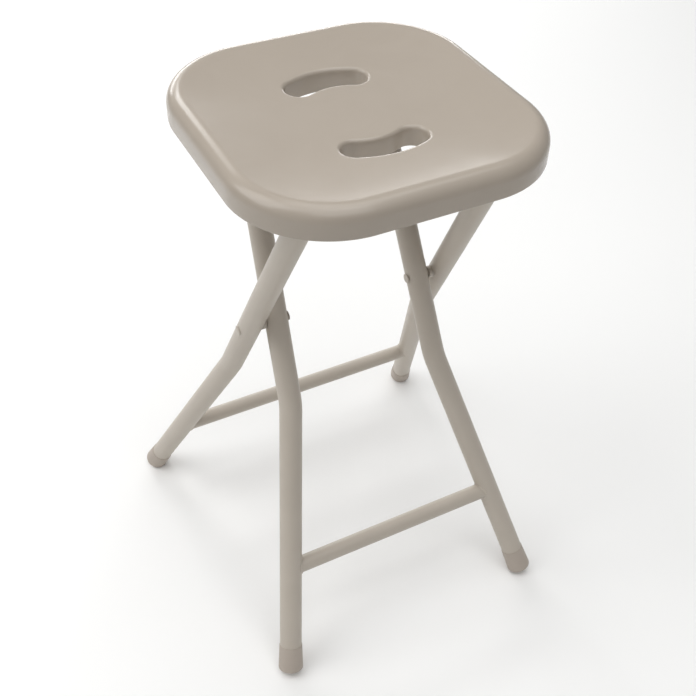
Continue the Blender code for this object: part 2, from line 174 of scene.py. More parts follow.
@dataclass
class Surface:
    """A closed skin, gathered from grids that meet at shared edges.

    Attributes:
        weld: Points nearer than this become one.
        points: The grids' points, each an array of n by 3.
        quads: The grids' faces, as arrays of point numbers.
    """

    weld: float = 1e-7
    points: list[np.ndarray] = field(default_factory=list)
    quads: list[np.ndarray] = field(default_factory=list)

    def add(self, grid: np.ndarray, loop_rows: bool = False, loop_columns: bool = False) -> "Surface":
        """Adds a grid's faces. Faces look along (next column) cross (next row).

        Args:
            grid: Points by row and column, rows by columns by 3.
            loop_rows: Whether the last row joins the first.
            loop_columns: Whether the last column joins the first.

        Returns:
            This surface.
        """
        rows, columns = grid.shape[:2]
        start = sum(len(p) for p in self.points)
        number = start + np.arange(rows * columns).reshape(rows, columns)
        if loop_rows:
            number = np.concatenate([number, number[:1]])
        if loop_columns:
            number = np.concatenate([number, number[:, :1]], 1)
        corners = (number[:-1, :-1], number[:-1, 1:], number[1:, 1:], number[1:, :-1])
        self.points.append(grid.reshape(-1, 3))
        self.quads.append(np.stack(corners, -1).reshape(-1, 4))
        return self

    def add_tube(self, grid: np.ndarray) -> "Surface":
        """Adds a grid that closes round its columns, with a point at each end closing it off.

        Args:
            grid: Points by row along the piece and column round it.

        Returns:
            This surface.
        """
        ends = [np.repeat(grid[i].mean(0)[None, None], grid.shape[1], 1) for i in (0, -1)]
        return self.add(np.concatenate([ends[0], grid, ends[1]]), loop_columns=True)

    def build(self, name: str, material: bpy.types.Material, sharp: float = SHARP) -> bpy.types.Object:
        """Welds the grids, turns them outwards and makes one object at the origin.

        Args:
            name: The piece's name.
            material: Its finish.
            sharp: Edges that bend by more than this many degrees stay sharp.

        Returns:
            The piece.
        """
        points = np.concatenate(self.points)
        quads = np.concatenate(self.quads)
        rounded = np.round(points / self.weld)
        _, first, same = np.unique(rounded, axis=0, return_index=True, return_inverse=True)
        points, quads = points[first], same.reshape(-1)[quads]
        a, b, c, d = (points[quads[:, i]] for i in range(4))
        volume = np.einsum("ij,ij->", a, np.cross(b, c)) + np.einsum("ij,ij->", a, np.cross(c, d))
        if volume < 0:
            quads = quads[:, ::-1]
        faces = [tuple(dict.fromkeys(face)) for face in quads.tolist()]
        mesh = bpy.data.meshes.new(name)
        mesh.from_pydata(points.tolist(), [], [face for face in faces if len(face) > 2])
        mesh.materials.append(material)
        mesh.shade_smooth()
        mesh.set_sharp_from_angle(angle=math.radians(sharp))
        piece = bpy.data.objects.new(name, mesh)
        bpy.context.scene.collection.objects.link(piece)
        return piece


def place(piece: bpy.types.Object, body: str, slot: Slot, *nodes: str) -> bpy.types.Object:
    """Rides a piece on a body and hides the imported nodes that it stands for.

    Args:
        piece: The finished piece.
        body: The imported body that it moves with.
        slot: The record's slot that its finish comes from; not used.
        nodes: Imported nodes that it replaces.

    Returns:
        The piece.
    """
    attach(piece, body)
    if nodes:
        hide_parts(*nodes)
    faces = sum(len(p.vertices) - 2 for p in piece.data.polygons)
    log.info("%-26s %-12s %6d triangles", piece.name, body, faces)
    return piece


def turned(profile: np.ndarray, origin: np.ndarray, axis: np.ndarray, sides: int = 48) -> np.ndarray:
    """A surface of revolution: each (radius, height) of the profile becomes a circle about the axis.

    Args:
        profile: (radius, height) pairs, n by 2.
        origin: Where height zero lies.
        axis: Unit vector along which the height is counted.
        sides: Points in each circle.

    Returns:
        Points, n by sides by 3.
    """
    across = unit(np.cross(UP if abs(axis[2]) < 0.9 else ACROSS, axis))
    rim = rays(around(sides)) @ np.stack([across, np.cross(axis, across)])
    profile = np.asarray(profile, float)
    return origin + profile[:, 1, None, None] * axis + profile[:, 0, None, None] * rim


# ---------------------------------------------------------------- finishes
class Shading:
    """A material's nodes: patterns over the piece's own space that feed one Principled shader.

    Attributes:
        material: The material.
        shader: Its Principled shader.
    """

    def __init__(self, name: str) -> None:
        """Makes a material with a plain shader.

        Args:
            name: The material's name.
        """
        self.material = bpy.data.materials.new(name)
        self.material.use_nodes = True
        self.shader = self.material.node_tree.nodes["Principled BSDF"]

    def fill(self, node: bpy.types.Node, inputs: dict) -> None:
        """Fills or links a node's inputs.

        Args:
            node: The node.
            inputs: Socket names or indices, each with a value or an output socket to link from.
        """
        for name, value in inputs.items():
            if isinstance(value, bpy.types.NodeSocket):
                self.material.node_tree.links.new(value, node.inputs[name])
            else:
                node.inputs[name].default_value = value

    def add(self, kind: str, inputs: dict, output: str, **settings: object) -> bpy.types.NodeSocket:
        """Adds a node, with its settings and its inputs filled or linked.

        Args:
            kind: The node's type name.
            inputs: As for fill.
            output: Name of the output that is wanted.
            settings: Attributes of the node.

        Returns:
            That output.
        """
        node = self.material.node_tree.nodes.new(kind)
        for name, value in settings.items():
            setattr(node, name, value)
        self.fill(node, inputs)
        return node.outputs[output]

    @cached_property
    def place_on(self) -> bpy.types.NodeSocket:
        """The piece's own coordinates."""
        return self.add("ShaderNodeTexCoord", {}, "Object")

    def noise(self, size: float, detail: float, distortion: float = 0.0) -> bpy.types.NodeSocket:
        """Adds noise.

        Args:
            size: Width of its lumps, in millimetres.
            detail: How many finer layers it has.
            distortion: How strongly it is swirled.

        Returns:
            Its value, from 0 to 1.
        """
        inputs = {"Vector": self.place_on, "Scale": 1 / (size * MM), "Detail": detail}
        return self.add("ShaderNodeTexNoise", {**inputs, "Distortion": distortion}, "Fac")

    def blend(self, share: bpy.types.NodeSocket, first: str, second: str) -> bpy.types.NodeSocket:
        """A colour between two, at this share of the way from the first to the second."""
        inputs = {"Factor": share, "A": linear(first), "B": linear(second)}
        return self.add("ShaderNodeMix", inputs, "Result", data_type="RGBA")

    def between(
        self, value: bpy.types.NodeSocket, start: float, end: float, top: float = 1.0
    ) -> bpy.types.NodeSocket:
        """Maps a value from 0 to top onto start to end."""
        inputs = {"Value": value, "From Max": top, "To Min": start, "To Max": end}
        return self.add("ShaderNodeMapRange", inputs, "Result")

    def relief(
        self, height: bpy.types.NodeSocket, rise: float, strength: float = 1.0
    ) -> bpy.types.NodeSocket:
        """Bends the surface's normal as a relief of this rise, in millimetres, would."""
        inputs = {"Height": height, "Distance": rise * MM, "Strength": strength}
        return self.add("ShaderNodeBump", inputs, "Normal")


@dataclass(frozen=True)
class MouldedPolypropylene:
    """Injection-moulded polypropylene: pigmented all through, polished by the mould.

    The mould's polish leaves a soft gloss with a faint, slow waviness, and slight flow shading in the
    pigment.

    Attributes:
        body: Main colour.
        flow: Colour of the slightly paler flow bands.
        flow_size: Width of the flow bands, in millimetres.
        ripple_size: Width of the surface's waves, in millimetres.
        ripple_height: Height of the waves, in millimetres.
        gloss: Lowest and highest roughness.
        ior: The plastic's index of refraction.
    """

    body: str = "#a69c90"
    flow: str = "#aaa094"
    flow_size: float = 45.0
    ripple_size: float = 3.0
    ripple_height: float = 0.0025
    gloss: tuple[float, float] = (0.20, 0.27)
    ior: float = 1.49

    def material(self) -> bpy.types.Material:
        """Builds the finish."""
        shading = Shading("moulded_polypropylene")
        flow = shading.noise(self.flow_size, 3.0, 1.2)
        polish = shading.noise(4 * self.ripple_size, 4.0)
        ripple = shading.noise(self.ripple_size, 2.0)
        shading.fill(shading.shader, {
            "Base Color": shading.blend(flow, self.body, self.flow),
            "Roughness": shading.between(polish, *self.gloss),
            "Normal": shading.relief(ripple, self.ripple_height),
            "IOR": self.ior,
        })
        return shading.material


@dataclass(frozen=True)
class PowderCoat:
    """Powder-coated steel: a baked polyester skin, with the fine orange peel of melted powder.

    Attributes:
        body: Main colour.
        thin: Colour where the coat runs thinner.
        peel_size: Width of the orange peel, in millimetres.
        peel_height: Its height, in millimetres.
        cloud_size: Width of the colour's clouds, in millimetres.
        gloss: Lowest and highest roughness.
    """

    body: str = "#c0b7ab"
    thin: str = "#b8afa3"
    peel_size: float = 1.6
    peel_height: float = 0.008
    cloud_size: float = 30.0
    gloss: tuple[float, float] = (0.34, 0.44)

    def material(self) -> bpy.types.Material:
        """Builds the finish."""
        shading = Shading("powder_coat")
        cloud = shading.noise(self.cloud_size, 4.0)
        peel = shading.noise(self.peel_size, 2.0)
        shading.fill(shading.shader, {
            "Base Color": shading.blend(cloud, self.body, self.thin),
            "Roughness": shading.between(peel, *self.gloss),
            "Normal": shading.relief(peel, self.peel_height),
        })
        return shading.material


@dataclass(frozen=True)
class SoftVinyl:
    """Dip-moulded plasticised vinyl: a soft satin skin that picks up scuffs where it meets the floor.

    Attributes:
        body: Main colour.
        scuff: Colour of the scuffs.
        scuff_top: Height above the floor at which the scuffs end, in millimetres.
        grain_size: Width of the skin's grain, in millimetres.
        grain_height: Its height, in millimetres.
        roughness: Lowest and highest roughness.
    """

    body: str = "#b1a69b"
    scuff: str = "#8f847c"
    scuff_top: float = 4.0
    grain_size: float = 0.8
    grain_height: float = 0.01
    roughness: tuple[float, float] = (0.42, 0.58)

    def material(self) -> bpy.types.Material:
        """Builds the finish."""
        shading = Shading("soft_vinyl")
        height = shading.add("ShaderNodeSeparateXYZ", {"Vector": shading.place_on}, "Z")
        low = shading.between(height, 1.0, 0.0, self.scuff_top * MM)
        grain = shading.noise(self.grain_size, 3.0)
        marks = shading.add("ShaderNodeMath", {0: low, 1: grain}, "Value", operation="MULTIPLY")
        shading.fill(shading.shader, {
            "Base Color": shading.blend(marks, self.body, self.scuff),
            "Roughness": shading.between(grain, *self.roughness),
            "Normal": shading.relief(grain, self.grain_height),
        })
        return shading.material


@dataclass(frozen=True)
class TurnedNylon:
    """Nylon turned from bar: a pale, slightly waxy face with fine rings left by the tool.

    Attributes:
        body: Main colour.
        shade: Colour of the grooves between the rings, painted shade darker than the body.
        ring_step: Distance between the tool's rings, in millimetres, coarse enough to show.
        ring_height: Their height, in millimetres.
        unevenness: How far the rings stray.
        roughness: The surface's roughness.
        ior: The nylon's index of refraction.
    """

    body: str = "#b9b0a4"
    shade: str = "#afa69a"
    ring_step: float = 3.1416
    ring_height: float = 0.02
    unevenness: float = 0.4
    roughness: float = 0.42
    ior: float = 1.53

    def material(self) -> bpy.types.Material:
        """Builds the finish."""
        shading = Shading("turned_nylon")
        scale = TAU / (self.ring_step * MM) / WAVE_TURN
        inputs = {"Vector": shading.place_on, "Scale": scale, "Distortion": self.unevenness}
        rings = shading.add("ShaderNodeTexWave", inputs, "Fac", bands_direction="X")
        # Painted shade: the base colour turns darker in the grooves between the tool's rings.
        shading.fill(shading.shader, {
            "Base Color": shading.blend(rings, self.shade, self.body),
            "Roughness": self.roughness,
            "Normal": shading.relief(rings, self.ring_height, 0.6),
            "IOR": self.ior,
        })
        return shading.material


@dataclass(frozen=True)
class ZincPlate:
    """Bright zinc on steel screws: a silvery, slightly cloudy metal.

    Attributes:
        body: Main colour.
        cloud: Colour of the cloudier patches.
        cloud_size: Width of the patches, in millimetres.
        roughness: Lowest and highest roughness.
    """

    body: str = "#c9c8c4"
    cloud: str = "#b0aea8"
    cloud_size: float = 1.5
    roughness: tuple[float, float] = (0.25, 0.45)

    def material(self) -> bpy.types.Material:
        """Builds the finish."""
        shading = Shading("zinc_plate")
        cloud = shading.noise(self.cloud_size, 3.0)
        shading.fill(shading.shader, {
            "Base Color": shading.blend(cloud, self.body, self.cloud),
            "Roughness": shading.between(cloud, *self.roughness),
            "Metallic": 1.0,
        })
        return shading.material


# ---------------------------------------------------------------- seat
@dataclass
class SeatShell:
    """The moulded seat: a dished skin with a rolled edge, a skirt, two hand slots and their collars.

    Attributes:
        width: Along X.
        depth: Along Y.
        crest: Height of the seat's highest line.
        collar_low: Height of the collars' lower edges.
        rim: Crest to the bottom of the skirt.
        corner: Radius of the outline's corners.
        edge: Radius of the rolled edge.
        skin: Thickness of the skin.
        dish: Fall from the crest to the middle.
        dish_power: How late the dish starts to rise.
        tilt: How far the rolled edge runs on inwards past the crest, in radians.
        slot_y: Middle of the seat to the middle of a slot.
        slot_bend: Radius of a slot's centreline.
        slot_turn: Half the angle that the centreline turns through.
        slot_half: Half a slot's width.
        slot_lip: Radius of a slot's rounded edge.
        eye_in: Middle of a slot to the point that the mesh's rays leave from, towards the seat's middle.
        collar: Thickness of the wall round a slot.
        fine: Radius of the small rounds on cut-off edges.
    """

    width: float
    depth: float
    crest: float
    collar_low: float
    rim: float = 21.5 * MM
    corner: float = 73 * MM
    edge: float = 10.5 * MM
    skin: float = 3 * MM
    dish: float = 8 * MM
    dish_power: float = 2.6
    tilt: float = math.radians(11)
    slot_y: float = 50 * MM
    slot_bend: float = 54 * MM
    slot_turn: float = math.radians(24)
    slot_half: float = 10.8 * MM
    slot_lip: float = 3 * MM
    eye_in: float = 4 * MM
    collar: float = 2.4 * MM
    fine: float = 0.5 * MM

    @property
    def lip_inset(self) -> float:
        """How far inside the outline the rolled edge ends and the dish starts."""
        return self.edge * (1 + math.sin(self.tilt))

    @property
    def lip_fall(self) -> float:
        """How far the start of the dish lies under the crest."""
        return self.edge * (1 - math.cos(self.tilt))

    def half_sizes(self, inset: float) -> tuple[float, float, float]:
        """Half width, half depth and corner radius of the outline drawn in by inset."""
        return self.width / 2 - inset, self.depth / 2 - inset, self.corner - inset

    def reach(self, along: np.ndarray, origin_y: float = 0.0) -> np.ndarray:
        """Distance from (0, origin_y) to the dish's outline along each direction.

        A ray meets the end line, the side line or the corner's circle. Each is worked out, and the one
        that lies on its own stretch is taken.

        Args:
            along: Unit directions, n by 2.
            origin_y: Where the rays start on the Y axis.

        Returns:
            n distances.
        """
        half_x, half_y, radius = self.half_sizes(self.lip_inset)
        dx, dy = np.abs(along[..., 0]), along[..., 1]
        with np.errstate(divide="ignore", invalid="ignore"):
            side = half_x / dx
            end = np.where(dy > 0, half_y - origin_y, -half_y - origin_y) / dy
        up = np.where(dy > 0, 1.0, -1.0)
        cx = half_x - radius
        cy = up * (half_y - radius) - origin_y
        middle = dx * cx + dy * cy
        corner = middle + np.sqrt(np.maximum(middle**2 - cx**2 - cy**2 + radius**2, 0))
        on_side = np.abs(origin_y + side * dy) <= half_y - radius
        on_end = np.abs(end * dx) <= half_x - radius
        return np.where(on_side, side, np.where(on_end, end, corner))

    def top(self, flat: np.ndarray) -> np.ndarray:
        """Height of the dished top: the fall grows with one minus the share to a power.

        The share is the distance from the seat's middle over the distance to the dish's outline on the
        same ray.

        Args:
            flat: Points, ... by 2, inside the dish's outline.

        Returns:
            Heights, without the last axis.
        """
        distance = np.linalg.norm(flat, axis=-1)
        safe = np.maximum(distance, 1e-9)
        share = np.minimum(distance / self.reach(flat / safe[..., None]), 1)
        fall = self.lip_fall + (self.dish - self.lip_fall) * (1 - share**self.dish_power)
        return self.crest - fall

    def sunk(self, flat: np.ndarray, sink: float) -> np.ndarray:
        """Height of the skin at a depth under its surface, over the dish and on round the rolled edge.

        Args:
            flat: Points, n by 2.
            sink: Depth under the surface.

        Returns:
            Heights.
        """
        over = np.abs(flat) - np.array([self.width / 2 - self.corner, self.depth / 2 - self.corner])
        outside = np.linalg.norm(np.maximum(over, 0), axis=-1) + np.minimum(over.max(-1), 0)
        inset = self.corner - outside
        roll = np.sqrt(np.maximum((self.edge - sink) ** 2 - (self.edge - inset) ** 2, 0))
        return np.where(inset < self.lip_inset, self.crest - self.edge + roll, self.top(flat) - sink)

    def kidney(self, t: np.ndarray, half_width: float) -> np.ndarray:
        """A slot's outline: a band of this half width round an arc, with round ends.

        t runs from 0 to 4: far side, left end, near side, right end, each one unit.

        Args:
            t: Places along the outline.
            half_width: Half the band's width.

        Returns:
            Points, n by 2.
        """
        t = np.mod(t, 4)
        share = t % 1
        centre = np.array([0.0, self.slot_y - self.slot_bend])
        turn = self.slot_turn * (1 - 2 * share)
        right, left = np.pi / 2 - self.slot_turn, np.pi / 2 + self.slot_turn
        far = centre + (self.slot_bend + half_width) * rays(np.pi / 2 - turn)
        near = centre + (self.slot_bend - half_width) * rays(np.pi / 2 + turn)
        left_end = centre + self.slot_bend * rays(left) + half_width * rays(left + np.pi * share)
        right_end = centre + self.slot_bend * rays(right) + half_width * rays(right - np.pi + np.pi * share)
        stretch = [(t < last)[:, None] for last in (1, 2, 3)]
        return np.select(stretch, [far, left_end, near], right_end)

    def columns(
        self, round_count: int = 170, straight_count: int = 60
    ) -> tuple[np.ndarray, np.ndarray, int]:
        """Places round a slot, and the outline points that the rays through them meet.

        Columns are spaced by the mean of the slot's and the outline's own lengths, and two of them meet
        the ends of the line that halves the seat.

        Args:
            round_count: Columns that meet the seat's outline.
            straight_count: Columns that meet the halving line.

        Returns:
            The places t, the outer points, and how many of the columns meet the outline.
        """
        eye = np.array([0.0, self.slot_y - self.eye_in])
        dense_t = np.linspace(0, 4, 4001)[:-1]
        bean = self.kidney(dense_t, self.slot_half + self.slot_lip)
        angle = np.arctan2(bean[:, 1] - eye[1], bean[:, 0])
        half_x = self.half_sizes(self.lip_inset)[0]
        right = math.atan2(-eye[1], half_x)
        order = np.argsort(np.mod(angle - right, TAU))
        turned_by = np.mod(angle - right, TAU)[order]
        table_t = np.unwrap(dense_t[order], period=4)
        left = np.pi - 2 * right
        spans = ((0.0, left, round_count), (left, TAU, straight_count))
        found_t, found_q = [], []
        for start, end, count in spans:
            dense = np.linspace(start, end, 3000)
            t = np.interp(dense, turned_by, table_t)
            outer = self.outer_points(rays(dense + right), eye, straight=start > 0)
            inner = self.kidney(t, self.slot_half + self.slot_lip)
            steps = [np.linalg.norm(np.diff(line, axis=0), axis=1) for line in (inner, outer)]
            length = sum(np.concatenate([[0], np.cumsum(s) / s.sum()]) for s in steps)
            pick = np.interp(np.linspace(0, 2, count + 1)[:-1], length, dense)
            found_t.append(np.interp(pick, turned_by, table_t))
            found_q.append(self.outer_points(rays(pick + right), eye, straight=start > 0))
        return np.concatenate(found_t), np.concatenate(found_q), round_count

    def outer_points(self, along: np.ndarray, eye: np.ndarray, straight: bool) -> np.ndarray:
        """Where rays from the eye meet the dish's outline, or the line that halves the seat.

        Args:
            along: Unit directions, n by 2.
            eye: Where the rays start.
            straight: Whether they meet the halving line.

        Returns:
            Points, n by 2.
        """
        if straight:
            with np.errstate(divide="ignore"):
                points = eye + along * (-eye[1] / along[:, 1])[:, None]
            points[:, 1] = 0.0
            return points
        points = eye + along * self.reach(along, eye[1])[:, None]
        points[:, 1] = np.maximum(points[:, 1], 0.0)
        return points

    def drawn_in(self, points: np.ndarray, inset: np.ndarray) -> np.ndarray:
        """Moves points of the outline along its normal, so that they lie inset inside the seat's side.

        Args:
            points: Outline points, n by 2.
            inset: Distance inside the seat's outer wall.

        Returns:
            Points, n by 2.
        """
        room = np.array([self.width / 2 - self.corner, self.depth / 2 - self.corner])
        centre = np.clip(points, -room, room)
        return centre + unit(points - centre) * (self.corner - inset)

    def level(self, flat: np.ndarray, height: np.ndarray | float) -> np.ndarray:
        """Stands flat points at a height."""
        return np.concatenate([flat, np.broadcast_to(height, flat.shape[:-1])[..., None]], -1)

    def slot_rows(self, t: np.ndarray, outer: np.ndarray) -> np.ndarray:
        """Rows from the underside's edge in to the collar, down, under, up the slot and out over the top.

        Between a slot and the outline, a row's points lie a fixed share of the way along each ray, and
        rows are closer together near both.

        Args:
            t: Places round the slot.
            outer: The outline's point on each ray.

        Returns:
            Points by row and column.
        """
        spread = 0.5 - 0.5 * np.cos(np.pi * np.linspace(0, 1, 32))
        spread = 0.6 * spread + 0.4 * np.linspace(0, 1, 32)
        collar = self.kidney(t, self.slot_half + self.collar)
        lip = self.kidney(t, self.slot_half + self.slot_lip)
        rows = []
        for share in spread[::-2]:
            flat = collar + (outer - collar) * share
            rows.append(self.level(flat, self.top(flat) - self.skin))
        low = self.collar_low
        rows.append(self.level(collar, low + self.fine))
        collar_edge = self.slot_half + self.collar - self.fine
        for x, z in arc(self.fine, 0, -np.pi / 2, 4)[1:]:
            rows.append(self.level(self.kidney(t, collar_edge + x), low + self.fine + z))
        for x, z in arc(self.fine, -np.pi / 2, -np.pi, 4):
            rows.append(self.level(self.kidney(t, self.slot_half + self.fine + x), low + self.fine + z))
        wall = self.kidney(t, self.slot_half)
        wall_top = self.top(lip) - self.slot_lip
        for share in (0.33, 0.67):
            rows.append(self.level(wall, low + self.fine + (wall_top - low - self.fine) * share))
        for x, z in arc(self.slot_lip, np.pi, np.pi / 2, 9):
            flat = self.kidney(t, self.slot_half + self.slot_lip + x)
            rows.append(self.level(flat, self.top(flat) - self.slot_lip + z))
        for share in spread[1:]:
            flat = lip + (outer - lip) * share
            rows.append(self.level(flat, self.top(flat)))
        return np.stack(rows)

    def edge_rows(self, outer: np.ndarray) -> np.ndarray:
        """Rows from the dish's edge over the rolled edge, down the skirt, under it and up its inside.

        Args:
            outer: Points of the dish's outline.

        Returns:
            Points by row and column.
        """
        low = self.crest - self.rim
        section = [(self.lip_inset, self.crest - self.lip_fall)]
        roll = arc(self.edge, np.pi / 2 + self.tilt, 0, 18)[1:]
        section += [(self.edge - x, self.crest - self.edge + z) for x, z in roll]
        side = self.crest - self.edge
        foot = arc(self.fine, 0, -np.pi / 2, 4)
        section += [(0.0, side + (low - side) * share) for share in (0.3, 0.6)]
        section += [(self.fine - x, low + self.fine + z) for x, z in foot]
        back = arc(self.fine, -np.pi / 2, -np.pi, 4)
        section += [(self.skin - self.fine - x, low + self.fine + z) for x, z in back]
        inner = self.edge - self.skin
        section.append((self.skin, (low + side) / 2))
        section += [(self.edge - x, side + z) for x, z in arc(inner, 0, np.pi / 2, 9)]
        section.append((self.lip_inset, self.crest - self.lip_fall - self.skin))
        return np.stack([self.level(self.drawn_in(outer, inset), z) for inset, z in section])

    def build(self, finish: bpy.types.Material) -> bpy.types.Object:
        """Builds the shell from its back half and the same half turned to the front."""
        t, outer, count = self.columns()
        surface = Surface(weld=2e-6)
        slot = self.slot_rows(t, outer)
        edge = self.edge_rows(outer[: count + 1])
        for flip in (1, -1):
            step = slice(None, None, flip)
            for rows, loop in ((slot, True), (edge, False)):
                grid = rows * np.array([1.0, flip, 1.0])
                surface.add(grid[:, step], loop_columns=loop)
        return surface.build("seat_shell_fine", finish)


@dataclass
class SeatRibs:
    """The ribs and screw bosses moulded under the seat, each a thin wall that ends inside the skin.

    Attributes:
        shell: The seat that they stiffen.
        bars: (y, z, room radius) of each top bar, which the ribs arch over.
        screws: (x, y) of each screw.
        boss_low: Height of the bosses' lower ends.
        boss: A boss's radius at its lower end.
        rib: A rib's thickness at its lower edge.
        rib_low: Height of the ribs' lower edges.
        draft: How much thicker a rib is at its top, on each side.
        inner_x: Middle plane to an inner rib.
        outer_x: Middle plane to an outer rib.
        sink: How far the tops reach into the skin.
        fine: Radius of a boss's rounded lower edge.
    """

    shell: SeatShell
    bars: list[tuple[float, float, float]]
    screws: list[tuple[float, float]]
    boss_low: float
    boss: float = 4.5 * MM
    rib: float = 1.8 * MM
    rib_low: float = 438.5 * MM
    draft: float = 0.25 * MM
    inner_x: float = 50.5 * MM
    outer_x: float = 92 * MM
    sink: float = 1.5 * MM
    fine: float = 0.4 * MM

    def line(self, start: tuple[float, float], end: tuple[float, float], count: int = 120) -> np.ndarray:
        """A rib from start to end: at each station a section that is drafted and round at the bottom.

        Its lower edge follows the higher of the ribs' level and an arch over each bar that it crosses.

        Args:
            start: First (x, y).
            end: Last (x, y).
            count: Stations along it.

        Returns:
            Points by station and section point.
        """
        spread = np.linspace(0, 1, count)
        spread = 0.5 * spread + 0.25 * (1 - np.cos(np.pi * spread))
        run = np.array(start) + spread[:, None] * (np.array(end) - np.array(start))
        beside = unit(np.array([[start[1] - end[1], end[0] - start[0]]]))[0]
        low = np.full(count, self.rib_low)
        for bar_y, bar_z, room in self.bars:
            gap = room**2 - (run[:, 1] - bar_y) ** 2
            low = np.maximum(low, bar_z + np.sqrt(np.maximum(gap, 0)))
        top = self.shell.sunk(run, self.sink)
        half = self.rib / 2
        section = [(half + self.draft, 1.0), (half, 0.04), (half * 0.6, 0.0), (-half * 0.6, 0.0),
                   (-half, 0.04), (-half - self.draft, 1.0)]
        rows = []
        for offset, share in section:
            flat = run + beside * offset
            rows.append(self.shell.level(flat, low + (top - low) * share))
        return np.stack(rows, 1)

    def end(self, x: float) -> float:
        """The largest Y at which a rib along this X still ends inside the skirt."""
        half_x, half_y, radius = self.shell.half_sizes(self.sink)
        over = max(abs(x) - (half_x - radius), 0.0)
        return half_y - radius + math.sqrt(radius**2 - over**2)

    def build(self, finish: bpy.types.Material) -> bpy.types.Object:
        """Builds every rib and boss into one piece."""
        surface = Surface()
        side = self.shell.width / 2 - self.sink
        surface.add_tube(self.line((-side, 0.0), (side, 0.0)))
        for hand in Hand:
            x = hand.value * self.inner_x
            surface.add_tube(self.line((x, -self.end(x)), (x, self.shell.slot_y)))
            x = hand.value * self.outer_x
            surface.add_tube(self.line((x, -self.end(x)), (x, self.end(x))))
        for x, y in self.screws:
            top = float(self.shell.top(np.array([[x, y]]))[0]) - self.sink
            rise = top - self.boss_low
            fine = self.fine
            profile = [(self.boss - fine, 0.0), (self.boss - 0.3 * fine, 0.3 * fine), (self.boss, fine),
                       (self.boss + self.draft, rise)]
            surface.add_tube(turned(np.array(profile), np.array([x, y, self.boss_low]), UP, 32))
        return surface.build("seat_ribs", finish)


